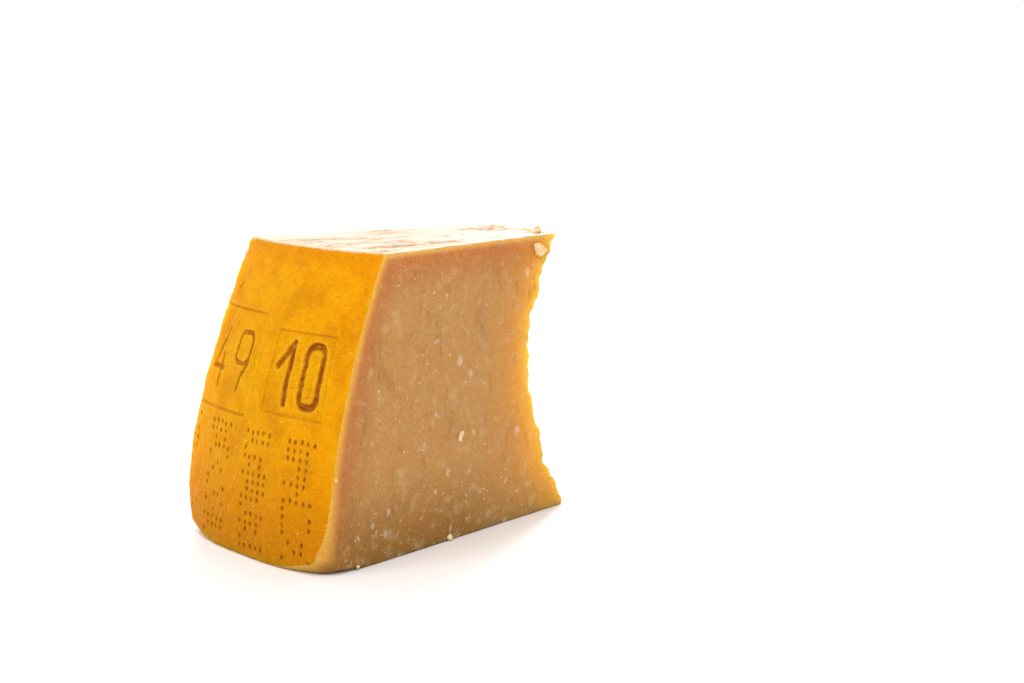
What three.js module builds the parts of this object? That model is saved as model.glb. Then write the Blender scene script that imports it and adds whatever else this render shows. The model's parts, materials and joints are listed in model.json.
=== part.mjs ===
// A wedge cut from the upper half of a wheel of hard, aged cheese: one solid, rind and paste grown together.
//
// Frame: +Z is up, +X runs from the rind towards the middle of the wheel, and the origin is the
// middle of the base. The wedge stands on the level cut that halved the wheel, so its base is the
// wheel's waist and its top is the wheel's flat face. Two upright cuts bound it at its sides, and
// its inner end is a rough break where the point of the wedge was snapped off.
import * as THREE from 'three';

// Driving dimensions, in millimetres and degrees.
const WHEEL_RADIUS = 213.5; // at the waist, where the wheel is widest
const WEDGE_HEIGHT = 120; // half of the wheel's height
const RIM_LEAN = 7.7; // how far the rim has come in at the top by its even slope
const RIM_BULGE = 25.5; // and how much further by its barrel curve
const FAR_CUT_BEARING = 170; // where the two cuts meet the waist, as bearings round the wheel's axis
const NEAR_CUT_BEARING = 197;
const CUT_SLANT = 10.4; // each cut's angle to the wedge's own middle line, +X
const EDGE_ROUNDING = 2; // worn edges
const FOOT_ROUNDING = 9; // the two lower corners of the rind, which are worn rounder
const FOOT_REACH = 14; // how far that extra wear reaches along the edges

// The break, from the base up: [height, distance from the wheel's axis]. It is hollow at mid height.
const BREAK_PROFILE = [
  [0, 64], [10, 69.5], [22, 78.5], [36, 80.5], [52, 86], [66, 88], [84, 86], [100, 81], [120, 70.5],
];
const BREAK_LUMP = 1.5; // the height of the coarse lumps on the break

// How finely the skin is divided: along the wedge, across it and up it.
const ROWS_ALONG = 24;
const ROWS_ACROSS = 16;
const ROWS_UP = 22;
const ROW_CROWDING = 0.75; // 0 spaces the rows evenly, and near 1 they crowd towards the edges

// The wedge's rough size as a plain block, which the worn edges are measured on.
const BLOCK = new THREE.Vector3(140, 80, WEDGE_HEIGHT);

const breakCurve = new THREE.SplineCurve(
  BREAK_PROFILE.map(([height, reach]) => new THREE.Vector2(height, reach)),
);

/** A straight upright cut, seen from above: where it starts on the waist and the way it runs inwards. */
function makeCut(bearing, slant) {
  const start = new THREE.Vector2(WHEEL_RADIUS, 0)
    .rotateAround(new THREE.Vector2(), THREE.MathUtils.degToRad(bearing));
  const inwards = new THREE.Vector2(1, 0)
    .rotateAround(new THREE.Vector2(), THREE.MathUtils.degToRad(slant));
  return { start, inwards };
}

const nearCut = makeCut(NEAR_CUT_BEARING, CUT_SLANT);
const farCut = makeCut(FAR_CUT_BEARING, -CUT_SLANT);

/** The wheel's radius at a height above the waist. */
function rimRadius(height) {
  const share = height / WEDGE_HEIGHT;
  return WHEEL_RADIUS - RIM_LEAN * share - RIM_BULGE * share * share;
}

/** The distance from the wheel's axis to the break at a height. */
function breakReach(height) {
  const last = BREAK_PROFILE.length - 1;
  const above = BREAK_PROFILE.findIndex(([level]) => level >= height);
  const upper = Math.max(1, above === -1 ? last : above);
  const [low, high] = [BREAK_PROFILE[upper - 1][0], BREAK_PROFILE[upper][0]];
  const knot = upper - 1 + (height - low) / (high - low);
  return breakCurve.getPoint(knot / last).y;
}

/** Where a cut meets the rim at a height, seen from above. */
function rimEnd(cut, height) {
  const along = cut.start.dot(cut.inwards);
  const beyond = cut.start.lengthSq() - rimRadius(height) ** 2;
  return cut.start.clone().addScaledVector(cut.inwards, -along - Math.sqrt(along * along - beyond));
}

/** Where a cut meets the break at a height, seen from above. */
function breakEnd(cut, height) {
  const run = (-breakReach(height) - cut.start.x) / cut.inwards.x;
  return cut.start.clone().addScaledVector(cut.inwards, run);
}

/** The coarse lumps of the break: how far it stands proud at a place across and a height. */
function breakLump(across, height) {
  const coarse = Math.sin(across * 7.3 + height * 0.09) * Math.cos(height * 0.145 - across * 2.1);
  const fine = Math.sin(across * 15.1 - height * 0.21) * Math.sin(height * 0.33 + 1.3);
  return BREAK_LUMP * (0.65 * coarse + 0.35 * fine);
}

/** Spaces the rows closer together near both edges of a face. */
function crowd(share) {
  const turn = 2 * Math.PI;
  return share - (ROW_CROWDING * Math.sin(turn * share)) / turn;
}

/** The radius that the block's edges are worn to at a point: more near the two lower corners of the rind. */
function wornRadius(point) {
  const aside = Math.min(point.y, BLOCK.y - point.y);
  const fromFoot = Math.hypot(point.x, aside, point.z);
  const extra = (FOOT_ROUNDING - EDGE_ROUNDING) * Math.exp(-((fromFoot / FOOT_REACH) ** 2));
  return EDGE_ROUNDING + extra;
}

/** Rounds the block's edges: a point is pulled onto a ball that is rolled along the inside of the skin. */
function wearEdges(point) {
  const radius = wornRadius(point);
  const low = new THREE.Vector3().setScalar(radius);
  const inner = point.clone().clamp(low, BLOCK.clone().sub(low));
  const out = point.clone().sub(inner);
  const reach = Math.max(Math.abs(out.x), Math.abs(out.y), Math.abs(out.z));
  return reach === 0 ? inner : inner.add(out.setLength(reach));
}

/** A place in the wedge: how far inwards, across and up it is, each from 0 to 1. */
function placeInWedge(inwards, across, up) {
  const height = up * WEDGE_HEIGHT;
  const nearRim = rimEnd(nearCut, height);
  const farRim = rimEnd(farCut, height);
  const fullTurn = 2 * Math.PI;
  const bearing = THREE.MathUtils.lerp(
    (nearRim.angle() + fullTurn) % fullTurn,
    (farRim.angle() + fullTurn) % fullTurn,
    across,
  );
  const rim = new THREE.Vector2(Math.cos(bearing), Math.sin(bearing)).multiplyScalar(rimRadius(height));
  const broken = breakEnd(nearCut, height).lerp(breakEnd(farCut, height), across);
  const spot = rim.lerp(broken, inwards);
  const lump = breakLump(across, height) * inwards ** 8;
  return new THREE.Vector3(spot.x + lump, spot.y, height);
}

/** The whole wedge as one closed skin: a gridded block, worn at its edges and bent to the wheel. */
function cheeseWedge() {
  const geometry = new THREE.BoxGeometry(1, 1, 1, ROWS_ALONG, ROWS_ACROSS, ROWS_UP);
  const skin = geometry.getAttribute('position');
  const vertex = new THREE.Vector3();
  for (let i = 0; i < skin.count; i += 1) {
    vertex.fromBufferAttribute(skin, i).addScalar(0.5);
    vertex.set(crowd(vertex.x), crowd(vertex.y), crowd(vertex.z)).multiply(BLOCK);
    const worn = wearEdges(vertex).divide(BLOCK);
    const placed = placeInWedge(worn.x, worn.y, worn.z);
    skin.setXYZ(i, placed.x, placed.y, placed.z);
  }
  geometry.computeBoundingBox();
  const middle = geometry.boundingBox.getCenter(new THREE.Vector3());
  geometry.translate(-middle.x, -middle.y, -geometry.boundingBox.min.z);
  geometry.computeVertexNormals();
  return geometry;
}

/** Aged cheese: straw-coloured paste under an amber rind, with a waxy sheen. */
function agedCheese() {
  return new THREE.MeshStandardMaterial({ color: 0xd9a45c, roughness: 0.55, metalness: 0 });
}

const wedge = new THREE.Mesh(cheeseWedge(), agedCheese());
wedge.name = 'cheese_wedge';

const part = new THREE.Group();
part.add(wedge);

export default part;
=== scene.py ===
"""A wedge of hard aged cheese, cut from the upper half of a wheel, with a stamped rind."""

import json
import math

import bpy
import numpy as np
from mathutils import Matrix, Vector

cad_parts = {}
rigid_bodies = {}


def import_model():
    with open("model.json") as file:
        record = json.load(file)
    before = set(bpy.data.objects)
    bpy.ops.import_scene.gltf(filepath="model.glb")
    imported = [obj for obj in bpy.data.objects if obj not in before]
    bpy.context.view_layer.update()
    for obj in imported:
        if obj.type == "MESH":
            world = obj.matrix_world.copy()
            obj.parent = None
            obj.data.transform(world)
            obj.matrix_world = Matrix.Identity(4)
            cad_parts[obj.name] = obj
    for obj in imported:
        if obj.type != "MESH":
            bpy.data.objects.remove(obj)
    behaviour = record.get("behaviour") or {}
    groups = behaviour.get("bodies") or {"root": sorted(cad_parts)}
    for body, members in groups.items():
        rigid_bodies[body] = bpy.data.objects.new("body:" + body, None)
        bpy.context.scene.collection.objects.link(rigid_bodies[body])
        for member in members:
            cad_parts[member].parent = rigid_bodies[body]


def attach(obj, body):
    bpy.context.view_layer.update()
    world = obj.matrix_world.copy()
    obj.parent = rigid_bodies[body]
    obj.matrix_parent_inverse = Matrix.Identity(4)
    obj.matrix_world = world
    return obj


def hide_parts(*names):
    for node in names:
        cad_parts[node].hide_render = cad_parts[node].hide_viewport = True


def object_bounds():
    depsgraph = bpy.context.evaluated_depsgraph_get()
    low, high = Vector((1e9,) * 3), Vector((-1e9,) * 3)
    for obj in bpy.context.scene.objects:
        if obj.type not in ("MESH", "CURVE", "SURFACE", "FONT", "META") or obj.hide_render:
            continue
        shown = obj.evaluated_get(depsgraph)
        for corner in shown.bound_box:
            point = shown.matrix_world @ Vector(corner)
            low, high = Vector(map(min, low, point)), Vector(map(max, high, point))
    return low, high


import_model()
CAD_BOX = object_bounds()

bl_info = {
    "name": "Cheese Wedge",
    "version": (1, 0, 0),
    "blender": (4, 5, 0),
    "location": "3D View > Sidebar > Cheese",
    "description": "Models a wedge of hard aged cheese with a stamped rind",
    "category": "Add Mesh",
}

MM = 0.001
NODE = "cheese_wedge"
WEDGE = "aged_cheese_wedge"

# Where the wheel's axis stands: this far in from the rind's outermost line, and this far aside.
AXIS_INWARDS = 0.2133
AXIS_ASIDE = 0.0127

# The broken inner end, from the base up: (height, distance from the wheel's axis), in millimetres.
BREAK_PROFILE = (
    (0, 64), (10, 69.5), (22, 78.5), (36, 80.5), (52, 86), (66, 88), (84, 86), (100, 81), (120, 70.5),
)


# ---------------------------------------------------------------- sizes and colours


def length(name, description, default):
    """A size in metres."""
    return bpy.props.FloatProperty(
        name=name, description=description, default=default, unit="LENGTH", precision=4
    )


def angle(name, description, degrees):
    """A bearing or a slant."""
    return bpy.props.FloatProperty(
        name=name, description=description, default=math.radians(degrees), subtype="ANGLE"
    )


def colour(name, description, *rgb):
    """A linear colour."""
    return bpy.props.FloatVectorProperty(
        name=name, description=description, default=rgb, size=3, subtype="COLOR", min=0, max=1
    )


class WheelSizes(bpy.types.PropertyGroup):
    """The wheel that the wedge was cut from, and the cuts."""

    axis_x: length("Axis X", "Where the wheel's axis stands", CAD_BOX[0].x + AXIS_INWARDS)
    axis_y: length("Axis Y", "Where the wheel's axis stands", AXIS_ASIDE)
    height: length("Height", "Half of the wheel's height", CAD_BOX[1].z)
    waist_radius: length("Waist Radius", "The wheel's radius at its waist", 0.2135)
    lean: length("Lean", "How far the rim comes in at the top by its even slope", 0.0077)
    bulge: length("Bulge", "How much further it comes in by its barrel curve", 0.0255)
    near_bearing: angle("Near Bearing", "Where the near cut meets the waist", 197)
    far_bearing: angle("Far Bearing", "Where the far cut meets the waist", 170)
    slant: angle("Slant", "Each cut's angle to the wedge's middle line", 10.4)
    worn_edge: length("Worn Edge", "The rounding of the edges", 0.0012)
    worn_foot: length("Worn Foot", "The rounding of the two lower corners of the rind", 0.009)
    foot_reach: length("Foot Reach", "How far that extra wear reaches along the edges", 0.014)


class StampSizes(bpy.types.PropertyGroup):
    """The marks that are pressed into the rind."""

    numeral_width: length("Numeral Width", "The width of a numeral", 0.0108)
    numeral_height: length("Numeral Height", "The height of a numeral", 0.0226)
    bold_stroke: length("Bold Stroke", "The width of a bold stroke", 0.0024)
    thin_stroke: length("Thin Stroke", "The width of a thin stroke", 0.0016)
    line_stroke: length("Frame Line", "The width of a plate's outline", 0.0009)
    depth: length("Depth", "How deep the bold strokes are pressed", 0.0010)
    dot_pitch: length("Dot Pitch", "The distance from dot to dot along a row", 0.00365)
    row_pitch: length("Row Pitch", "The distance from row to row of dots", 0.00315)
    dot_width: length("Dot Width", "The width of a dot", 0.0015)
    dot_height: length("Dot Height", "The height of a dot", 0.0019)


class CheeseColours(bpy.types.PropertyGroup):
    """The colours of the rind and the paste, with the painted shade, glow and highlights among them."""

    rind: colour("Rind", "The waxy side of the rind", 0.86, 0.370, 0.002)
    # rind_dark_and_shade serves the rind's darker patches and the painted shade towards its foot.
    rind_dark_and_shade: colour("Rind, Dark", "Its deeper patches", 0.62, 0.205, 0.002)
    # rind_top_and_sheen is the flat face's own colour, paled and greyed as a painted sheen.
    rind_top_and_sheen: colour("Rind, Flat Face", "The dry flat face of the wheel", 0.66, 0.45, 0.29)
    smudge: colour("Smudge", "Brown smudges on the flat face", 0.32, 0.14, 0.045)
    # stamp is the marks' brown, partly painted shade in their recesses.
    stamp: colour("Stamp", "The walls of a pressed mark", 0.31, 0.068, 0.010)
    # rind_pale_and_highlight serves the rind's pale pores and bloom, and the painted highlight on the
    # stamps' raised lips.
    rind_pale_and_highlight: colour("Rind, Pale", "Its lighter pores and worn spots", 0.84, 0.42, 0.012)
    edge: colour("Edge", "The golden line where the rind is cut", 0.88, 0.46, 0.09)
    under_rind: colour("Under Rind", "The dense paste just under the rind", 0.58, 0.225, 0.066)
    paste: colour("Paste", "The paste", 0.65, 0.325, 0.108)
    # paste_foot_shade is painted shade: the paste is darker near the foot.
    paste_foot_shade: colour("Paste, Low", "The paste near the foot", 0.37, 0.160, 0.032)
    # paste_painted_glow and glow are painted light: a warm glow in the paste towards the broken end,
    # brightest right beside the break.
    paste_painted_glow: colour("Paste, Warm", "The paste near the broken end", 0.82, 0.36, 0.055)
    glow: colour("Paste, Edge", "The thin paste right beside the break", 0.95, 0.50, 0.060)
    # painted_glint is a painted highlight: bright specks on the rind's waxy beads.
    painted_glint: colour("Glint", "The waxy beads on the rind", 1.0, 0.80, 0.33)
    grain: colour("Grain", "The tops of the grains on the broken end", 0.84, 0.56, 0.23)
    paste_pale: colour("Paste, Pale", "Its pale blotches", 0.76, 0.52, 0.27)
    crystal: colour("Crystal", "The white crystals", 0.93, 0.80, 0.60)
    crumb: colour("Crumb", "The crumbs that cling to it", 0.86, 0.55, 0.22)
    # fissure is painted shade at the bottom of the cracks.
    fissure: colour("Fissure", "The bottom of a fissure", 0.42, 0.165, 0.030)


class StageSizes(bpy.types.PropertyGroup):
    """The floor, the lights and the camera."""

    floor: length("Floor", "The radius of the round floor", 1.0)
    lens: bpy.props.FloatProperty(
        name="Lens", description="The camera's focal length in millimetres", default=56.25, unit="CAMERA"
    )
    camera: bpy.props.FloatVectorProperty(
        name="Camera", description="Where the camera stands", default=(-0.3745, -0.5394, 0.1892),
        size=3, subtype="XYZ", unit="LENGTH",
    )
    heading: angle("Heading", "The way the camera looks, clockwise from +Y", 39.13)
    tilt: angle("Tilt", "How far the camera looks down", 9.708)


# ---------------------------------------------------------------- modelling helpers


def deselect_all():
    """Leaves nothing selected, and object mode on."""
    if bpy.context.object and bpy.context.object.mode != "OBJECT":
        bpy.ops.object.mode_set(mode="OBJECT")
    bpy.ops.object.select_all(action="DESELECT")


def make_active(piece):
    """Selects one piece and makes it the active one."""
    deselect_all()
    piece.select_set(True)
    bpy.context.view_layer.objects.active = piece


def numbers(items, name, width=1):
    """An attribute of a mesh's vertices, edges or faces, as an array."""
    values = np.empty(len(items) * width, np.float32)
    items.foreach_get(name, values)
    return values.reshape(-1, width) if width > 1 else values


def choose(piece, kind, chosen):
    """Enters edit mode with only these vertices, edges or faces selected."""
    make_active(piece)
    mesh = piece.data
    for name in ("vertices", "edges", "polygons"):
        items = getattr(mesh, name)
        mask = chosen if name == kind else np.zeros(len(items), bool)
        items.foreach_set("select", np.asarray(mask, bool))
    bpy.context.tool_settings.mesh_select_mode = tuple(
        kind == name for name in ("vertices", "edges", "polygons")
    )
    bpy.ops.object.mode_set(mode="EDIT")


def leave_edit():
    """Back to object mode."""
    bpy.ops.object.mode_set(mode="OBJECT")


def ease(low, high, values):
    """0 at low, 1 at high and smooth between them."""
    share = np.clip((values - low) / (high - low), 0, 1)
    return share * share * (3 - 2 * share)


def set_group(piece, name, weights):
    """Makes a vertex group with a weight for each vertex, to the nearest fiftieth."""
    group = piece.vertex_groups.new(name=name)
    steps = np.round(np.clip(weights, 0, 1) * 50).astype(int)
    for step in np.unique(steps[steps > 0]):
        group.add(np.flatnonzero(steps == step).tolist(), step / 50, "REPLACE")


def displace(piece, group, kind, size, height, direction="NORMAL", depth=2, hard=False):
    """Moves a group's vertices by a pattern of that size, by up to half of height each way."""
    name = f"{group} {kind.lower()} {size / MM:g}"
    pattern = bpy.data.textures.new(name, kind)
    pattern.noise_scale = size
    if kind == "CLOUDS":
        pattern.noise_depth = depth
        pattern.noise_type = "HARD_NOISE" if hard else "SOFT_NOISE"
    make_active(piece)
    bpy.ops.object.modifier_add(type="DISPLACE")
    modifier = piece.modifiers[-1]
    modifier.texture = pattern
    modifier.texture_coords = "LOCAL"
    modifier.vertex_group = group
    modifier.direction = direction
    modifier.strength = height
    modifier.mid_level = 0.5
    bpy.ops.object.modifier_apply(modifier=modifier.name)


# ---------------------------------------------------------------- the wheel's geometry


def rim_radius(wheel, height):
    """The wheel's radius at a height above the waist."""
    share = height / wheel.height
    return wheel.waist_radius - wheel.lean * share - wheel.bulge * share**2


def cut_start(wheel, bearing):
    """Where a cut meets the waist, from the wheel's axis, seen from above."""
    return wheel.waist_radius * np.array([math.cos(bearing), math.sin(bearing)])


def cut_ends(wheel, bearing, slant, height):
    """Where a cut meets the rim and the break at each height, from the wheel's axis, seen from above."""
    start = cut_start(wheel, bearing)
    inwards = np.array([math.cos(slant), math.sin(slant)])
    along = start @ inwards
    beyond = start @ start - rim_radius(wheel, height) ** 2
    levels, reaches = np.array(BREAK_PROFILE).T * MM
    run = (-np.interp(height, levels, reaches) - start[0]) / inwards[0]
    rim = start + np.outer(-along - np.sqrt(along**2 - beyond), inwards)
    return rim, start + np.outer(run, inwards)


def bend_to_wheel(wheel, place):
    """Where each place in the block, from 0 to 1 inwards, across and up, lies in the wedge."""
    inwards, across, up = place.T
    height = up * wheel.height
    near_rim, near_break = cut_ends(wheel, wheel.near_bearing, wheel.slant, height)
    far_rim, far_break = cut_ends(wheel, wheel.far_bearing, -wheel.slant, height)
    near = np.arctan2(near_rim[:, 1], near_rim[:, 0]) % (2 * math.pi)
    far = np.arctan2(far_rim[:, 1], far_rim[:, 0]) % (2 * math.pi)
    bearing = near + (far - near) * across
    rim = rim_radius(wheel, height) * np.array([np.cos(bearing), np.sin(bearing)])
    broken = (near_break + (far_break - near_break) * across[:, None]).T
    spot = rim + (broken - rim) * inwards
    return np.array([spot[0] + wheel.axis_x, spot[1] + wheel.axis_y, height]).T


def on_rim(wheel, points):
    """How far round the rim each point is, from the middle of the wedge towards the near cut."""
    middle = (wheel.near_bearing + wheel.far_bearing) / 2
    bearing = np.arctan2(points[:, 1] - wheel.axis_y, points[:, 0] - wheel.axis_x) % (2 * math.pi)
    return (bearing - middle) * wheel.waist_radius


# ---------------------------------------------------------------- the wedge's shape

BLOCK = np.array([0.140, 0.080, 0.120])
ROWS = ((11, 6), (10, 10), (14, 10))  # along, across and up: each side is divided twice
CROWDED_END = 0.05  # the share of a side, at each end, where the rows are close together
CROWDING = 0.85  # how much closer


def gridded_block():
    """A finely divided block: the wedge before it is bent to the wheel."""
    bpy.ops.mesh.primitive_cube_add(size=1, location=BLOCK / 2)
    piece = bpy.context.object
    piece.name = piece.data.name = WEDGE
    piece.scale = BLOCK
    bpy.ops.object.transform_apply(location=True, rotation=False, scale=True)
    for axis, (first, second) in enumerate(ROWS):
        for parts, shortest in ((first, 0.5), (second, 0.5 / first)):
            points = numbers(piece.data.vertices, "co", 3)
            ends = numbers(piece.data.edges, "vertices", 2).astype(int)
            runs = np.abs(points[ends[:, 0]] - points[ends[:, 1]])
            choose(piece, "edges", runs[:, axis] > shortest * BLOCK[axis])
            bpy.ops.mesh.subdivide(number_cuts=parts - 1)
            leave_edit()
    return piece


def crowd(points):
    """Moves the rows closer together near the block's edges, where the skin is rounder."""
    steps = np.linspace(0, 1, 801)
    ends = np.exp(-((steps / CROWDED_END) ** 2)) + np.exp(-(((1 - steps) / CROWDED_END) ** 2))
    gaps = 1 - CROWDING * ends
    rows = np.append(0, np.cumsum((gaps[1:] + gaps[:-1]) / 2))
    return np.interp(points / BLOCK, steps, rows / rows[-1]) * BLOCK


def wear_edges(wheel, points):
    """Rounds the block's edges with a ball rolled inside its skin, a bigger one at the rind's feet."""
    aside = np.minimum(points[:, 1], BLOCK[1] - points[:, 1])
    away = np.linalg.norm([points[:, 0], aside, points[:, 2]], axis=0)
    extra = (wheel.worn_foot - wheel.worn_edge) * np.exp(-((away / wheel.foot_reach) ** 2))
    radius = (wheel.worn_edge + extra)[:, None]
    inner = np.clip(points, radius, BLOCK - radius)
    out = points - inner
    reach = np.abs(out).max(axis=1, keepdims=True)
    return inner + out * reach / np.maximum(np.linalg.norm(out, axis=1, keepdims=True), 1e-9)


def note_depth(piece, points):
    """Keeps how deep each vertex lies, in millimetres: from the rim, the nearer cut and the flat face."""
    aside = np.minimum(points[:, 1], BLOCK[1] - points[:, 1])
    depth = np.array([points[:, 0], aside, BLOCK[2] - points[:, 2]]).T / MM
    attribute = piece.data.attributes.new("depth", "FLOAT_VECTOR", "POINT")
    attribute.data.foreach_set("vector", depth.astype(np.float32).ravel())


def set_regions(piece, place):
    """Vertex groups for the wedge's faces, each fading out at the edges."""
    inwards, across, up = place.T
    set_group(piece, "broken_end", ease(0.80, 0.99, inwards))
    broken_face = ease(0.975, 0.995, inwards)
    set_group(piece, "broken_face", broken_face)
    aside = ease(0.0, 0.22, np.minimum(across, 1 - across))
    set_group(piece, "broken_middle", broken_face * aside * ease(0.0, 0.14, np.minimum(up, 1 - up)))
    cut = np.maximum(ease(0.03, 0.0, across), ease(0.97, 1.0, across))
    cut = np.maximum(cut, ease(0.02, 0.0, up))
    set_group(piece, "cut_faces", cut * ease(0.0, 0.03, inwards) * ease(1.0, 0.97, inwards))
    set_group(piece, "rim", ease(0.02, 0.0, inwards))
    set_group(piece, "flat_face", ease(0.98, 1.0, up) * ease(1.0, 0.97, inwards))


# The wedge's unevenness: (group, pattern, its size and its height in metres, options).
ROUGHNESS = (
    ("broken_end", "CLOUDS", 0.014, 0.0038, {"direction": "X"}),
    ("broken_end", "CLOUDS", 0.0045, 0.0014, {"direction": "X", "depth": 1}),
    ("broken_middle", "CLOUDS", 0.024, 0.0100, {"direction": "X", "depth": 3, "hard": True}),
    ("broken_middle", "VORONOI", 0.0100, 0.0034, {"direction": "X"}),
    ("broken_face", "VORONOI", 0.0050, 0.0014, {}),
    ("broken_face", "VORONOI", 0.0025, 0.0008, {}),
    ("broken_face", "CLOUDS", 0.0016, 0.0007, {"depth": 1}),
    ("cut_faces", "CLOUDS", 0.022, 0.0008, {}),
    ("cut_faces", "CLOUDS", 0.006, 0.0003, {}),
    ("rim", "CLOUDS", 0.030, 0.0016, {"depth": 1}),
    ("rim", "CLOUDS", 0.007, 0.0008, {}),
    ("rim", "CLOUDS", 0.0026, 0.0005, {"depth": 1}),
    ("flat_face", "CLOUDS", 0.020, 0.0009, {}),
    ("flat_face", "CLOUDS", 0.005, 0.0003, {}),
)


def roughen(piece):
    """The broken end's crags and grains, the cuts' gentle waves and the rind's unevenness."""
    for group, kind, size, height, options in ROUGHNESS:
        displace(piece, group, kind, size, height, **options)


def stand_level(piece):
    """Flattens whatever hangs below the level that the wedge stands on."""
    points = numbers(piece.data.vertices, "co", 3)
    choose(piece, "vertices", points[:, 2] < 0)
    bpy.ops.transform.resize(value=(1, 1, 0), center_override=(0, 0, 0))
    leave_edit()


# ---------------------------------------------------------------- the stamped marks


def arc(middle, radii, start, end, steps=14):
    """Points along part of an ellipse, with angles in degrees."""
    turns = np.radians(np.linspace(start, end, steps))
    return np.array([
        middle[0] + radii[0] * np.cos(turns),
        middle[1] + radii[1] * np.sin(turns),
    ]).T


def rounded_loop(left, right, bottom, top, corner):
    """Points round a rectangle with round corners, from the middle of its top and back to it."""
    turns = (
        ((left + corner, top - corner), 90), ((left + corner, bottom + corner), 180),
        ((right - corner, bottom + corner), 270), ((right - corner, top - corner), 360),
    )
    middle = ((left + right) / 2, top)
    corners = [arc(spot, (corner, corner), turn, turn + 90, 6) for spot, turn in turns]
    return np.vstack([middle, *corners, middle])


def numeral_strokes():
    """Each numeral's strokes, on a cell 1 wide and 2 high."""
    return {
        "0": [rounded_loop(0.05, 0.95, 0.0, 2.0, 0.32)],
        "1": [np.array([(0.05, 1.2), (0.75, 2.0), (0.75, 0.0)])],
        "4": [np.array([(0.62, 2.0), (0.0, 0.62), (1.0, 0.62)]), np.array([(0.75, 1.1), (0.75, 0.0)])],
        "9": [rounded_loop(0.0, 1.0, 0.95, 2.0, 0.3), np.array([(1.0, 1.5), (1.0, 0.95), (0.55, 0.0)])],
    }


def plate(stamp, sides, text, spacing, stroke, line_darkness):
    """A sunk plate with an outline and numerals: its strokes as (points, width, depth, darkness)."""
    left, right, bottom, top = sides
    width, height = stamp.numeral_width, stamp.numeral_height
    start = (left + right) / 2 - ((len(text) - 1) * spacing + width) / 2
    base = (bottom + top) / 2 - height / 2
    strokes = []
    for number, digit in enumerate(text):
        for line in numeral_strokes()[digit]:
            spot = line * (width, height / 2) + (start + number * spacing, base)
            share = stroke / stamp.bold_stroke
            strokes.append((spot, stroke, stamp.depth * share, share**0.5))
    corners = np.array([(left, bottom), (right, bottom), (right, top), (left, top), (left, bottom)])
    strokes.append((corners, stamp.line_stroke, 0.4 * stamp.depth, line_darkness))
    return strokes


def distance_to(line, spots):
    """How far each spot is from a line of straight runs."""
    nearest = np.full(len(spots), np.inf)
    for start, end in zip(line[:-1], line[1:]):
        run = end - start
        share = np.clip(((spots - start) @ run) / max(run @ run, 1e-12), 0, 1)
        nearest = np.minimum(nearest, np.linalg.norm(spots - start - share[:, None] * run, axis=1))
    return nearest


# The pin dots: patterns for a row, the middle of each column round the rim, the height of the top row,
# how many rows there are, and how far each row steps aside from the one above it.
DOT_ROWS = ("11111", "10001", "00100", "01010", "11110", "10000", "01111", "00110")
DOT_COLUMNS = (0.0320, 0.0049, -0.0234, -0.0520)
DOT_TOP = 0.0487
DOT_COUNT = 15
DOT_LEAN = 0.00013


def dot_places(stamp, chance):
    """The middle of every pin dot: each column has a full row at its top, and random rows under it."""
    for middle in DOT_COLUMNS:
        for row in range(DOT_COUNT):
            pattern = DOT_ROWS[chance.integers(len(DOT_ROWS)) if row else 0]
            for dot, shown in enumerate(pattern, start=-2):
                if shown == "1":
                    arc_place = middle + dot * stamp.dot_pitch + DOT_LEAN * row
                    yield arc_place, DOT_TOP - row * stamp.row_pitch


# Places on the rim, in metres: how far round from the wedge's middle line, towards the near cut, and
# how high. A plate is its left, right, bottom and top.
BOLD_PLATE = (0.0043, 0.0398, 0.0573, 0.0885)
THIN_PLATE = (-0.0497, -0.0077, 0.0535, 0.0930)
PLATE_RECESS = 0.0005
NICK = np.array([(-0.0412, 0.1003), (-0.0385, 0.1026)])


def press_depth(stamp, spots):
    """How far the stamps press each spot of the rim in, how dark it is painted (the marks' brown, partly
    painted shade in their recesses) and how far it is raised.
    """
    strokes = plate(stamp, BOLD_PLATE, "10", 0.0165, stamp.bold_stroke, 0.20)
    strokes += plate(stamp, THIN_PLATE, "49", 0.0190, stamp.thin_stroke, 0.42)
    strokes.append((NICK, stamp.line_stroke, 0.6 * stamp.depth, 0.9))
    depth, lips, tone = np.zeros((3, len(spots)))
    for line, width, press, darkness in strokes:
        away = distance_to(line, spots) / (width / 2)
        depth = np.maximum(depth, press * ease(1.5, 0.3, away))
        lips = np.maximum(lips, ease(3.2, 1.6, away) * press / stamp.depth)
        shade = ease(1.5, 0.75, away) * (1 - 0.35 * ease(0.6, 0.0, away))
        tone = np.maximum(tone, shade * darkness)
    chance = np.random.default_rng(7)
    for arc_place, height in dot_places(stamp, chance):
        shift = chance.normal(0, 0.00016, 2)
        strength = chance.uniform(0.6, 0.95)
        across = (spots[:, 0] - arc_place - shift[0]) / (stamp.dot_width / 2)
        up = (spots[:, 1] - height - shift[1]) / (stamp.dot_height / 2)
        away = np.hypot(across, up)
        depth = np.maximum(depth, 0.9 * stamp.depth * strength * ease(1.4, 0.2, away))
        tone = np.maximum(tone, strength**0.5 * ease(1.35, 0.7, away))
    for left, right, bottom, top in (BOLD_PLATE, THIN_PLATE):
        inside = np.minimum(
            np.minimum(spots[:, 0] - left, right - spots[:, 0]),
            np.minimum(spots[:, 1] - bottom, top - spots[:, 1]),
        )
        depth += PLATE_RECESS * ease(-0.0006, 0.0006, inside)
    lips *= ease(0.3, 0.0, tone)
    return depth - 0.35 * stamp.depth * lips, tone, lips


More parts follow.
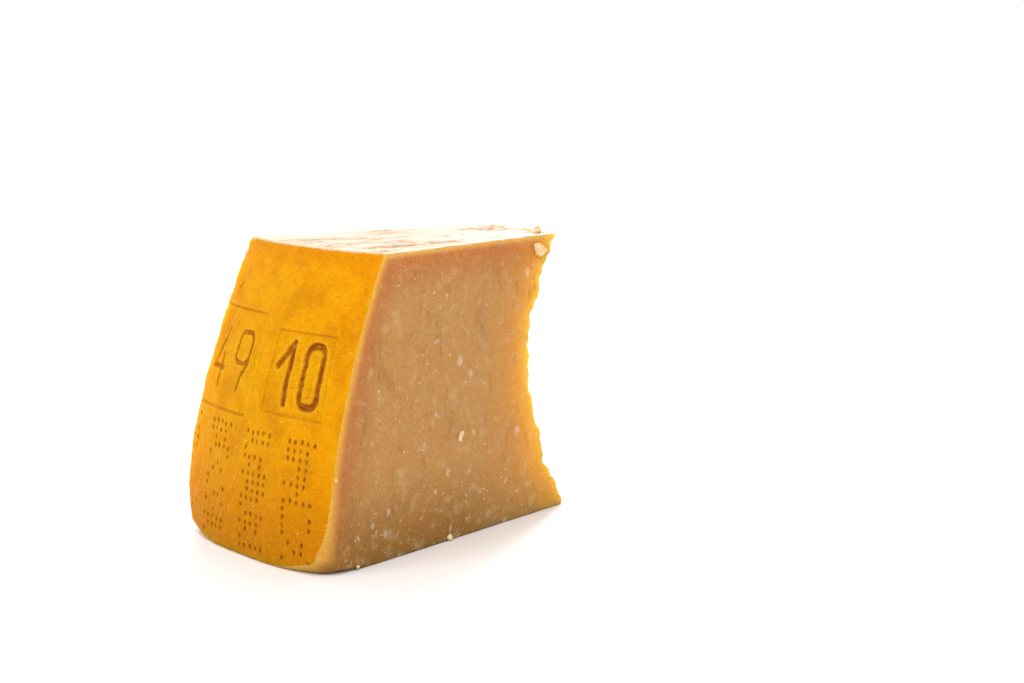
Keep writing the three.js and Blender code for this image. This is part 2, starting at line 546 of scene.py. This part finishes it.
def stamp_rind(wheel, stamp, piece):
    """Presses the plates, numerals and pin dots into the rim, on a finer mesh than the rest."""
    mesh = piece.data
    points = numbers(mesh.vertices, "co", 3)
    tone = press_depth(stamp, np.array([on_rim(wheel, points), points[:, 2]]).T)[1]
    inwards = numbers(mesh.attributes["depth"].data, "vector", 3)[:, 0]
    choose(piece, "vertices", (tone > 0) & (inwards < 0.3))
    bpy.ops.mesh.select_more()
    bpy.ops.mesh.subdivide(number_cuts=2)
    leave_edit()
    points = numbers(mesh.vertices, "co", 3)
    out = points[:, :2] - (wheel.axis_x, wheel.axis_y)
    inwards = numbers(mesh.attributes["depth"].data, "vector", 3)[:, 0]
    depth, tone, lips = press_depth(stamp, np.array([on_rim(wheel, points), points[:, 2]]).T)
    fade = ease(0.6, 0.1, inwards)
    points[:, :2] -= out / np.linalg.norm(out, axis=1, keepdims=True) * (depth * fade)[:, None]
    mesh.vertices.foreach_set("co", points.ravel())
    # stamp holds the marks' brown, partly painted shade in their recesses; lip_highlight holds the painted
    # highlight on the raised lips.
    for name, values in (("stamp", tone), ("lip_highlight", lips)):
        attribute = mesh.attributes.new(name, "FLOAT", "POINT")
        attribute.data.foreach_set("value", (values * fade).astype(np.float32))
    mesh.update()


# ---------------------------------------------------------------- the crumbs that cling to the wedge

# Roughly where each crumb sits: (inwards, outwards from the near cut, up), then its size on each axis,
# all in millimetres. Inwards is counted along the cut from where it meets the waist.
CRUMBS = (
    ((124.4, 1.0, 113.9), (10.8, 4.0, 6.2)),
    ((75.0, 1.0, 42.5), (3.4, 1.8, 4.8)),
    ((68.0, 1.0, 1.6), (3.4, 2.2, 3.4)),
    ((16.5, 1.0, 1.0), (1.9, 1.6, 1.6)),
    ((138.0, -2.5, 110.5), (5.5, 4.5, 6.5)),
    ((134.0, -8.5, 123.0), (3.2, 3.4, 4.6)),
    ((6.0, 1.0, 37.5), (1.6, 1.4, 1.9)),
)
SUNK = 0.25  # how far out of the skin each crumb's middle stands, as a share of its smallest side


def grain_reach(chance, ways, faces=11):
    """How far a broken grain reaches each way: a ball of radius 0.5 that flat faces have cut into."""
    normals = chance.normal(size=(faces, 3))
    normals /= np.linalg.norm(normals, axis=1, keepdims=True)
    facing = np.maximum(ways @ normals.T, 1e-3)
    return np.minimum((chance.uniform(0.27, 0.45, faces) / facing).min(axis=1), 0.5)


def make_crumbs(wheel, wedge):
    """Small rough grains, each partly sunk into the wedge's skin, as one piece."""
    chance = np.random.default_rng(11)
    start = cut_start(wheel, wheel.near_bearing) + (wheel.axis_x, wheel.axis_y)
    along = np.array([math.cos(wheel.slant), math.sin(wheel.slant)])
    outwards = np.array([math.sin(wheel.slant), -math.cos(wheel.slant)])
    grains = []
    for (inwards, out, up), sides in CRUMBS:
        spot = start + inwards * MM * along + out * MM * outwards
        _, skin, normal, _ = wedge.closest_point_on_mesh((*spot, up * MM))
        middle = skin + SUNK * min(sides) * MM * normal
        bpy.ops.mesh.primitive_ico_sphere_add(subdivisions=4, radius=1.0, location=middle)
        grain = bpy.context.object
        ways = numbers(grain.data.vertices, "co", 3)
        shape = ways * grain_reach(chance, ways)[:, None]
        grain.data.vertices.foreach_set("co", shape.astype(np.float32).ravel())
        grain.scale = np.array(sides) * MM
        grain.rotation_euler = (chance.uniform(-0.3, 0.3), chance.uniform(-0.4, 0.4), wheel.slant)
        bpy.ops.object.transform_apply(location=True, rotation=True, scale=True)
        grain.vertex_groups.new(name="grain").add(range(len(ways)), 1.0, "REPLACE")
        displace(grain, "grain", "CLOUDS", 0.30 * max(sides) * MM, 0.25 * min(sides) * MM)
        grains.append(grain)
    make_active(grains[0])
    for grain in grains:
        grain.select_set(True)
    bpy.ops.object.join()
    piece = bpy.context.object
    piece.name = piece.data.name = "clinging_crumbs"
    piece.vertex_groups.clear()
    return piece


# ---------------------------------------------------------------- shader helpers


def node(tree, kind, inputs=None, **settings):
    """Adds a node. inputs maps a socket's name or number to a value or to another node's socket."""
    made = tree.nodes.new(kind)
    for name, value in settings.items():
        setattr(made, name, value)
    for socket, value in (inputs or {}).items():
        if isinstance(value, bpy.types.NodeSocket):
            tree.links.new(value, made.inputs[socket])
        else:
            made.inputs[socket].default_value = value
    return made


def maths(tree, operation, *values):
    """A Math node's result."""
    return node(tree, "ShaderNodeMath", dict(enumerate(values)), operation=operation).outputs[0]


def fade(tree, value, low, high, start=0.0, end=1.0):
    """A value carried smoothly from low..high to start..end."""
    made = node(
        tree, "ShaderNodeMapRange",
        {"Value": value, "From Min": low, "From Max": high, "To Min": start, "To Max": end},
        interpolation_type="SMOOTHSTEP",
    )
    return made.outputs[0]


def blend(tree, share, first, second):
    """Two colours mixed by a share."""
    first, second = [(*c, 1) if not isinstance(c, bpy.types.NodeSocket) else c for c in (first, second)]
    return node(tree, "ShaderNodeMix", {0: share, 6: first, 7: second}, data_type="RGBA").outputs[2]


def new_group(name, inputs, outputs):
    """A shader node group with these inputs, as {name: default}, and outputs."""
    tree = bpy.data.node_groups.new(name, "ShaderNodeTree")
    for title, default in inputs.items():
        kind = "NodeSocketVector" if title == "Vector" else "NodeSocketFloat"
        socket = tree.interface.new_socket(name=title, in_out="INPUT", socket_type=kind)
        if title != "Vector":
            socket.default_value = default
    for title in outputs:
        tree.interface.new_socket(name=title, in_out="OUTPUT", socket_type="NodeSocketFloat")
    return tree, tree.nodes.new("NodeGroupInput").outputs, tree.nodes.new("NodeGroupOutput").inputs


def use(tree, group, **inputs):
    """Places a node group in a material and returns its outputs."""
    made = tree.nodes.new("ShaderNodeGroup")
    made.node_tree = bpy.data.node_groups[group]
    for name, value in inputs.items():
        if isinstance(value, bpy.types.NodeSocket):
            tree.links.new(value, made.inputs[name])
        else:
            made.inputs[name].default_value = value
    return made.outputs


def make_mottle():
    """Group: soft patches of a size, from a low to a high cut."""
    defaults = {"Vector": None, "Size": 0.01, "Low": 0.45, "High": 0.65}
    tree, given, out = new_group("Mottle", defaults, ("Mask",))
    scale = maths(tree, "DIVIDE", 1.0, given["Size"])
    cloud = node(tree, "ShaderNodeTexNoise", {"Vector": given["Vector"], "Scale": scale, "Detail": 4.0})
    tree.links.new(fade(tree, cloud.outputs[0], given["Low"], given["High"]), out["Mask"])


def make_crystals():
    """Group: round spots of uneven size in a share of the cells of a pattern."""
    defaults = {"Vector": None, "Spacing": 0.004, "Radius": 0.25, "Share": 0.4}
    tree, given, out = new_group("Crystals", defaults, ("Mask",))
    scale = maths(tree, "DIVIDE", 1.0, given["Spacing"])
    finer = maths(tree, "MULTIPLY", scale, 3.0)
    wobble = node(tree, "ShaderNodeTexNoise", {"Vector": given["Vector"], "Scale": finer})
    shift = node(
        tree, "ShaderNodeVectorMath", {0: wobble.outputs["Color"], 1: (0.5, 0.5, 0.5)}, operation="SUBTRACT"
    )
    reach = maths(tree, "MULTIPLY", given["Spacing"], 0.5)
    shift = node(tree, "ShaderNodeVectorMath", {0: shift.outputs[0], "Scale": reach}, operation="SCALE")
    place = node(tree, "ShaderNodeVectorMath", {0: given["Vector"], 1: shift.outputs[0]}, operation="ADD")
    cells = node(tree, "ShaderNodeTexVoronoi", {"Vector": place.outputs[0], "Scale": scale})
    chance = node(tree, "ShaderNodeSeparateColor", {0: cells.outputs["Color"]}).outputs
    chosen = maths(tree, "LESS_THAN", chance[0], given["Share"])
    radius = maths(tree, "MULTIPLY", given["Radius"], maths(tree, "ADD", chance[1], 0.35))
    inner = maths(tree, "MULTIPLY", radius, 0.45)
    spot = fade(tree, cells.outputs["Distance"], radius, inner)
    tree.links.new(maths(tree, "MULTIPLY", spot, chosen), out["Mask"])


def make_fissures():
    """Group: thin broken lines where a stretched pattern crosses its middle value."""
    defaults = {"Vector": None, "Size": 0.01, "Width": 0.01, "Low": 0.5, "High": 0.6}
    tree, given, out = new_group("Fissures", defaults, ("Mask",))
    scale = maths(tree, "DIVIDE", 1.0, given["Size"])
    warp = node(
        tree, "ShaderNodeTexNoise",
        {"Vector": given["Vector"], "Scale": scale, "Detail": 6.0, "Roughness": 0.6},
    )
    line = maths(tree, "ABSOLUTE", maths(tree, "SUBTRACT", warp.outputs[0], 0.5))
    line = fade(tree, line, given["Width"], 0.0)
    coarser = maths(tree, "MULTIPLY", scale, 0.8)
    where = node(
        tree, "ShaderNodeTexNoise",
        {"Vector": given["Vector"], "Scale": coarser, "Detail": 2.0, "W": 3.0}, noise_dimensions="4D",
    )
    there = fade(tree, where.outputs[0], given["Low"], given["High"])
    tree.links.new(maths(tree, "MULTIPLY", line, there), out["Mask"])


def make_shared_groups():
    """Builds the shader groups that the cheese and its crumbs share, once."""
    for name, make in (("Mottle", make_mottle), ("Crystals", make_crystals), ("Fissures", make_fissures)):
        if name not in bpy.data.node_groups:
            make()


# ---------------------------------------------------------------- materials


def paste_finish(tree, colours, place, height, rim, top):
    """The paste's colour and relief: dense and redder by the rind, painted shade low down, a painted glow by
    the broken end, pale in blotches.

    rim and top are how deep a point lies under the rim and under the flat face, in millimetres.
    """
    fine_wobble = use(tree, "Mottle", Vector=place, Size=0.0012, Low=0.3, High=0.7)["Mask"]
    tall = node(tree, "ShaderNodeMapping", {"Vector": place, "Scale": (1.0, 1.0, 0.9)}).outputs[0]
    dense = maths(tree, "MULTIPLY", fade(tree, rim, 1.0, 26.0), fade(tree, top, 1.0, 20.0))
    paste = blend(tree, dense, colours.under_rind, colours.paste)
    # Painted glow: the paste turns warm towards the broken end and bright right beside the break.
    paste = blend(tree, fade(tree, rim, 92.0, 142.0, 0.0, 0.85), paste, colours.paste_painted_glow)
    thin = fade(tree, rim, 119.0, 138.0, 0.0, 0.80)
    paste = blend(tree, thin, paste, colours.glow)
    # Painted shade: the paste darkens towards the foot, less so near the broken end.
    low = fade(tree, height, 0.038, 0.0, 0.0, 0.95)
    low = maths(tree, "MULTIPLY", low, fade(tree, rim, 125.0, 60.0, 0.3, 1.0))
    paste = blend(tree, low, paste, colours.paste_foot_shade)

    inner = fade(tree, maths(tree, "MINIMUM", rim, top), 2.0, 14.0, 0.3, 1.0)
    blotch = use(tree, "Mottle", Vector=tall, Size=0.0050, Low=0.50, High=0.74)["Mask"]
    small = use(tree, "Mottle", Vector=tall, Size=0.0016, Low=0.54, High=0.78)["Mask"]
    pale = maths(tree, "MULTIPLY_ADD", blotch, 0.42, maths(tree, "MULTIPLY", small, 0.48))
    paste = blend(tree, maths(tree, "MULTIPLY", pale, inner), paste, colours.paste_pale)
    big = use(tree, "Crystals", Vector=tall, Spacing=0.0070, Radius=0.25, Share=0.28)["Mask"]
    fine = use(tree, "Crystals", Vector=place, Spacing=0.0022, Radius=0.22, Share=0.16)["Mask"]
    crystal = maths(tree, "MAXIMUM", maths(tree, "MULTIPLY", big, 0.42), maths(tree, "MULTIPLY", fine, 0.85))
    paste = blend(tree, maths(tree, "MULTIPLY", crystal, inner), paste, colours.crystal)
    stretched = node(tree, "ShaderNodeMapping", {"Vector": place, "Scale": (1.0, 1.0, 0.35)}).outputs[0]
    crack = use(tree, "Fissures", Vector=stretched, Size=0.0045, Width=0.020, Low=0.52, High=0.62)["Mask"]
    crack = maths(tree, "MULTIPLY", crack, inner)
    # Painted shade in the cracks.
    paste = blend(tree, maths(tree, "MULTIPLY", crack, 0.45), paste, colours.fissure)
    speckle = use(tree, "Mottle", Vector=place, Size=0.0007, Low=0.45, High=0.75)["Mask"]
    paste = blend(tree, maths(tree, "MULTIPLY", speckle, 0.26), paste, colours.paste_pale)

    broken = fade(tree, rim, 137.0, 139.6)
    clump = use(tree, "Mottle", Vector=place, Size=0.0020, Low=0.36, High=0.70)["Mask"]
    crumbly = blend(tree, clump, colours.paste, colours.grain)
    paste = blend(tree, maths(tree, "MULTIPLY", broken, 0.85), paste, crumbly)
    flecks = maths(tree, "MULTIPLY", fade(tree, top, 3.2, 1.4), fine_wobble)
    paste = blend(tree, maths(tree, "MULTIPLY", flecks, 0.45), paste, colours.paste_pale)
    paste = blend(tree, fade(tree, top, 2.4, 0.8, 0.0, 0.6), paste, colours.edge)
    paste = blend(tree, fade(tree, rim, 6.5, 0.4, 0.0, 0.85), paste, colours.edge)

    grain = fine_grain(tree, place)
    wrinkle = use(tree, "Mottle", Vector=place, Size=0.0012, Low=0.35, High=0.65)["Mask"]
    relief = maths(tree, "MULTIPLY_ADD", wrinkle, 0.8, maths(tree, "MULTIPLY", grain, 0.35))
    relief = maths(tree, "MULTIPLY_ADD", crystal, 0.25, relief)
    relief = maths(tree, "MULTIPLY_ADD", crack, -0.9, relief)
    relief = maths(tree, "MULTIPLY_ADD", small, 0.3, relief)
    relief = maths(tree, "MULTIPLY_ADD", maths(tree, "MULTIPLY", clump, broken), 1.2, relief)
    return paste, relief


def rind_finish(tree, colours, place, height, top):
    """The side of the rind, with its stamps: its colour, with painted shade and painted highlights, its
    relief and the painted glints on its waxy beads.
    """
    patch = use(tree, "Mottle", Vector=place, Size=0.016, Low=0.42, High=0.66)["Mask"]
    pore = use(tree, "Crystals", Vector=place, Spacing=0.0015, Radius=0.30, Share=0.35)["Mask"]
    under_top = fade(tree, top, 9.0, 0.8, 0.0, 0.6)
    deeper = maths(tree, "MAXIMUM", maths(tree, "MULTIPLY", patch, 0.5), under_top)
    # Painted shade: the rind darkens towards the foot.
    deeper = maths(tree, "MAXIMUM", deeper, fade(tree, height, 0.055, 0.0, 0.0, 0.95))
    rind = blend(tree, deeper, colours.rind, colours.rind_dark_and_shade)
    cloudy = use(tree, "Mottle", Vector=place, Size=0.0045, Low=0.46, High=0.70)["Mask"]
    rind = blend(tree, maths(tree, "MULTIPLY", cloudy, 0.22), rind, colours.rind_dark_and_shade)
    rind = blend(tree, maths(tree, "MULTIPLY", pore, 0.18), rind, colours.rind_pale_and_highlight)
    bloom = use(tree, "Mottle", Vector=place, Size=0.0030, Low=0.52, High=0.76)["Mask"]
    rind = blend(tree, maths(tree, "MULTIPLY", bloom, 0.45), rind, colours.rind_pale_and_highlight)
    # Painted highlights: bright specks where the rind has waxy beads, gathered in patches.
    painted_glint = use(tree, "Crystals", Vector=place, Spacing=0.0019, Radius=0.19, Share=0.42)["Mask"]
    beaded = use(tree, "Mottle", Vector=place, Size=0.013, Low=0.44, High=0.62)["Mask"]
    painted_glint = maths(tree, "MULTIPLY", painted_glint, maths(tree, "MULTIPLY_ADD", beaded, 0.8, 0.1))
    rind = blend(tree, painted_glint, rind, colours.painted_glint)

    # Painted highlight: the rind is paler on the raised lips round the stamps.
    lip_highlight = node(tree, "ShaderNodeAttribute", attribute_name="lip_highlight").outputs["Fac"]
    rind = blend(tree, maths(tree, "MULTIPLY", lip_highlight, 0.6), rind, colours.rind_pale_and_highlight)
    # The marks' brown, partly painted shade in their recesses.
    stamp = node(tree, "ShaderNodeAttribute", attribute_name="stamp").outputs["Fac"]
    worn = use(tree, "Mottle", Vector=place, Size=0.0022, Low=0.30, High=0.60)["Mask"]
    mark_brown_and_shade = maths(tree, "MULTIPLY", stamp, maths(tree, "MULTIPLY_ADD", worn, 0.38, 0.58))
    rind = blend(tree, mark_brown_and_shade, rind, colours.stamp)

    dimple = use(tree, "Mottle", Vector=place, Size=0.0017, Low=0.35, High=0.65)["Mask"]
    grain = fine_grain(tree, place)
    pitted = maths(tree, "MULTIPLY_ADD", pore, -0.4, maths(tree, "MULTIPLY", grain, 0.5))
    pitted = maths(tree, "MULTIPLY_ADD", dimple, 0.9, pitted)
    pitted = maths(tree, "MULTIPLY_ADD", bloom, 0.6, pitted)
    pitted = maths(tree, "MULTIPLY_ADD", painted_glint, 0.5, pitted)
    return rind, pitted, painted_glint


def flat_face_finish(tree, colours, place, rim, side):
    """The flat face of the wheel, dry and scuffed: its colour, paled as a painted sheen, and its smudges."""
    streaky = node(
        tree, "ShaderNodeMapping", {"Vector": place, "Rotation": (0, 0, 0.5), "Scale": (0.55, 1.2, 1)}
    ).outputs[0]
    smudge = use(tree, "Mottle", Vector=streaky, Size=0.017, Low=0.42, High=0.64)["Mask"]
    scuff = use(tree, "Mottle", Vector=streaky, Size=0.0022, Low=0.38, High=0.62)["Mask"]
    smudge = maths(tree, "MULTIPLY", smudge, maths(tree, "MULTIPLY_ADD", scuff, 0.75, 0.25))
    smudge = maths(tree, "MULTIPLY", smudge, fade(tree, maths(tree, "MINIMUM", rim, side), 1.2, 5.0))
    flat = blend(tree, maths(tree, "MULTIPLY", smudge, 0.9), colours.rind_top_and_sheen, colours.smudge)
    return flat, smudge


def fine_grain(tree, place):
    """The finest relief, the same on the paste and on the rind."""
    return node(tree, "ShaderNodeTexNoise", {"Vector": place, "Scale": 900.0, "Detail": 4.0}).outputs[0]


def cheese_material(colours):
    """Aged cheese: waxy amber rind, dense golden paste under it and mottled crystalline paste within."""
    make_shared_groups()
    material = bpy.data.materials.new("aged_cheese")
    material.use_nodes = True
    tree = material.node_tree
    tree.nodes.clear()
    place = node(tree, "ShaderNodeTexCoord").outputs["Object"]
    height = node(tree, "ShaderNodeSeparateXYZ", {0: place}).outputs["Z"]
    depth = node(tree, "ShaderNodeAttribute", attribute_name="depth").outputs["Vector"]
    rim, side, top = node(tree, "ShaderNodeSeparateXYZ", {0: depth}).outputs

    paste, paste_relief = paste_finish(tree, colours, place, height, rim, top)
    rind, rind_relief, painted_glint = rind_finish(tree, colours, place, height, top)
    flat, smudge = flat_face_finish(tree, colours, place, rim, side)

    # The rind is a thin skin with a slightly ragged edge.
    wobble = use(tree, "Mottle", Vector=place, Size=0.005, Low=0.3, High=0.7)["Mask"]
    fine_wobble = use(tree, "Mottle", Vector=place, Size=0.0012, Low=0.3, High=0.7)["Mask"]
    ragged = maths(tree, "MULTIPLY_ADD", wobble, 0.7, fine_wobble)
    on_rim = fade(tree, maths(tree, "MULTIPLY_ADD", ragged, 0.15, rim), 0.55, 0.35)
    on_top = fade(tree, maths(tree, "MULTIPLY_ADD", ragged, 0.15, top), 0.75, 0.45)
    body = blend(tree, on_rim, paste, rind)
    body = blend(tree, on_top, body, flat)

    skin = maths(tree, "MAXIMUM", on_rim, on_top)
    rough = fade(tree, skin, 0.0, 1.0, 0.50, 0.32)
    rough = maths(tree, "MULTIPLY_ADD", maths(tree, "MULTIPLY", smudge, on_top), 0.3, rough)
    gloss = maths(tree, "MULTIPLY", maths(tree, "MULTIPLY", painted_glint, 0.6), on_rim)
    relief = node(tree, "ShaderNodeMix", {0: skin, 2: paste_relief, 3: rind_relief}).outputs[0]
    bump = node(tree, "ShaderNodeBump", {"Height": relief, "Distance": 0.0014, "Strength": 0.9})

    shader = node(
        tree, "ShaderNodeBsdfPrincipled",
        {
            "Base Color": body, "Roughness": rough, "Normal": bump.outputs[0],
            "Subsurface Weight": 0.6, "Subsurface Radius": (1.0, 0.48, 0.10), "Subsurface Scale": 0.028,
            "IOR": 1.3, "Specular IOR Level": 0.06, "Specular Tint": (1.0, 0.62, 0.14, 1.0),
            "Coat Weight": gloss, "Coat Roughness": 0.12,
        },
    )
    node(tree, "ShaderNodeOutputMaterial", {"Surface": shader.outputs[0]})
    return material


def crumb_material(colours):
    """Loose grains of the paste, drier and paler than the cut they came from."""
    make_shared_groups()
    material = bpy.data.materials.new("cheese_crumbs")
    material.use_nodes = True
    tree = material.node_tree
    shader = tree.nodes["Principled BSDF"]
    place = node(tree, "ShaderNodeTexCoord").outputs["Object"]
    patch = use(tree, "Mottle", Vector=place, Size=0.0015, Low=0.40, High=0.65)["Mask"]
    grain = use(tree, "Crystals", Vector=place, Spacing=0.0012, Radius=0.30, Share=0.4)["Mask"]
    body = blend(tree, maths(tree, "MULTIPLY", patch, 0.6), colours.crumb, colours.crystal)
    height = maths(tree, "MULTIPLY_ADD", grain, 0.5, patch)
    bump = node(tree, "ShaderNodeBump", {"Height": height, "Distance": 0.0003, "Strength": 0.6})
    tree.links.new(body, shader.inputs["Base Color"])
    tree.links.new(bump.outputs[0], shader.inputs["Normal"])
    shader.inputs["Roughness"].default_value = 0.5
    shader.inputs["Subsurface Weight"].default_value = 0.5
    shader.inputs["Subsurface Radius"].default_value = (1.0, 0.5, 0.2)
    shader.inputs["Subsurface Scale"].default_value = 0.003
    return material


def plain_material(name, rgb, roughness):
    """The stage's plain finish."""
    material = bpy.data.materials.new(name)
    material.use_nodes = True
    shader = material.node_tree.nodes["Principled BSDF"]
    shader.inputs["Base Color"].default_value = (*rgb, 1)
    shader.inputs["Roughness"].default_value = roughness
    return material


# ---------------------------------------------------------------- operators


class CHEESE_OT_wedge(bpy.types.Operator):
    """Models the wedge: block, wheel's curve, broken end, stamps and finish"""

    bl_idname = "cheese.wedge"
    bl_label = "Cheese Wedge"

    def execute(self, context):
        wheel, stamp = context.scene.cheese_wheel, context.scene.cheese_stamp
        deselect_all()
        piece = gridded_block()
        block = wear_edges(wheel, crowd(numbers(piece.data.vertices, "co", 3)))
        place = block / BLOCK
        piece.data.vertices.foreach_set("co", bend_to_wheel(wheel, place).astype(np.float32).ravel())
        piece.data.update()
        set_regions(piece, place)
        note_depth(piece, block)
        roughen(piece)
        stamp_rind(wheel, stamp, piece)
        stand_level(piece)
        piece.vertex_groups.clear()
        choose(piece, "polygons", np.ones(len(piece.data.polygons), bool))
        bpy.ops.mesh.normals_make_consistent(inside=False)
        leave_edit()
        bpy.ops.object.shade_smooth()
        piece.data.materials.append(cheese_material(context.scene.cheese_colours))
        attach(piece, "root")
        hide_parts(NODE)
        return {"FINISHED"}


class CHEESE_OT_crumbs(bpy.types.Operator):
    """Models the crumbs that cling to the near cut and to the broken end"""

    bl_idname = "cheese.crumbs"
    bl_label = "Clinging Crumbs"

    def execute(self, context):
        deselect_all()
        piece = make_crumbs(context.scene.cheese_wheel, context.scene.objects[WEDGE])
        stand_level(piece)
        make_active(piece)
        bpy.ops.object.shade_smooth()
        piece.data.materials.append(crumb_material(context.scene.cheese_colours))
        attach(piece, "root")
        return {"FINISHED"}


# The lamps: name, place, sides and power in watts. All of them face the middle of the wedge.
LAMPS = (
    ("key", (-1.35, 0.15, 1.0), (0.6, 0.6), 8),
    ("back", (1.15, 1.45, 0.55), (2.2, 0.9), 22),
    ("glow", (0.80, 0.60, 0.40), (0.35, 0.35), 9),
    ("overhead", (-0.16, -0.26, 0.50), (0.20, 0.20), 1.1),
)
WORLD_LIGHT = 0.74  # how strongly the white world lights the wedge: the camera sees it at 1


def soft_light(name, place, target, sides, power):
    """A soft panel that faces a place."""
    panel = bpy.data.lights.new(name, "AREA")
    panel.shape = "RECTANGLE"
    panel.size, panel.size_y = sides
    panel.energy = power
    light = bpy.data.objects.new(name, panel)
    bpy.context.scene.collection.objects.link(light)
    light.location = place
    light.rotation_euler = (Vector(target) - Vector(place)).to_track_quat("-Z", "Y").to_euler()
    light.visible_camera = False


def white_world():
    """White all round for the camera, and dimmer as a light."""
    world = bpy.data.worlds.new("studio")
    bpy.context.scene.world = world
    world.use_nodes = True
    tree = world.node_tree
    tree.nodes.clear()
    seen = node(tree, "ShaderNodeLightPath").outputs["Is Camera Ray"]
    strength = maths(tree, "MULTIPLY_ADD", seen, 1 - WORLD_LIGHT, WORLD_LIGHT)
    light = node(tree, "ShaderNodeBackground", {"Color": (1, 1, 1, 1), "Strength": strength})
    node(tree, "ShaderNodeOutputWorld", {"Surface": light.outputs[0]})


class CHEESE_OT_stage(bpy.types.Operator):
    """Sets the pale floor, the soft lights and the camera"""

    bl_idname = "cheese.stage"
    bl_label = "Stage"

    def execute(self, context):
        stage = context.scene.cheese_stage
        deselect_all()
        bpy.ops.mesh.primitive_circle_add(vertices=96, radius=stage.floor, fill_type="NGON")
        floor = context.object
        floor.name = "floor"
        floor.data.materials.append(plain_material("pale_floor", (0.92, 0.91, 0.90), 0.6))
        white_world()
        middle = (CAD_BOX[0] + CAD_BOX[1]) / 2
        for name, place, sides, power in LAMPS:
            soft_light(name, place, middle, sides, power)
        camera = bpy.data.objects.new("camera", bpy.data.cameras.new("camera"))
        context.scene.collection.objects.link(camera)
        camera.data.lens = stage.lens
        camera.location = stage.camera
        camera.rotation_euler = (math.radians(90) - stage.tilt, 0, -stage.heading)
        context.scene.camera = camera
        context.scene.view_settings.view_transform = "Standard"
        return {"FINISHED"}


class CHEESE_PT_panel(bpy.types.Panel):
    """Lists the steps that make the wedge and its stage"""

    bl_idname = "CHEESE_PT_panel"
    bl_label = "Cheese Wedge"
    bl_space_type = "VIEW_3D"
    bl_region_type = "UI"
    bl_category = "Cheese"

    def draw(self, context):
        for operator in OPERATORS:
            self.layout.operator(operator.bl_idname)


GROUPS = {
    "cheese_wheel": WheelSizes,
    "cheese_stamp": StampSizes,
    "cheese_colours": CheeseColours,
    "cheese_stage": StageSizes,
}
OPERATORS = (CHEESE_OT_wedge, CHEESE_OT_crumbs, CHEESE_OT_stage)


def register():
    """Registers the add-on's classes and gives the scene its properties."""
    for name, group in GROUPS.items():
        bpy.utils.register_class(group)
        setattr(bpy.types.Scene, name, bpy.props.PointerProperty(type=group))
    for made in (*OPERATORS, CHEESE_PT_panel):
        bpy.utils.register_class(made)


def unregister():
    """Takes them away again."""
    for made in (CHEESE_PT_panel, *reversed(OPERATORS)):
        bpy.utils.unregister_class(made)
    for name, group in reversed(GROUPS.items()):
        delattr(bpy.types.Scene, name)
        bpy.utils.unregister_class(group)


def main():
    """Makes the wedge and its stage."""
    register()
    bpy.ops.cheese.wedge()
    bpy.ops.cheese.crumbs()
    bpy.ops.cheese.stage()


if __name__ == "__main__":
    main()
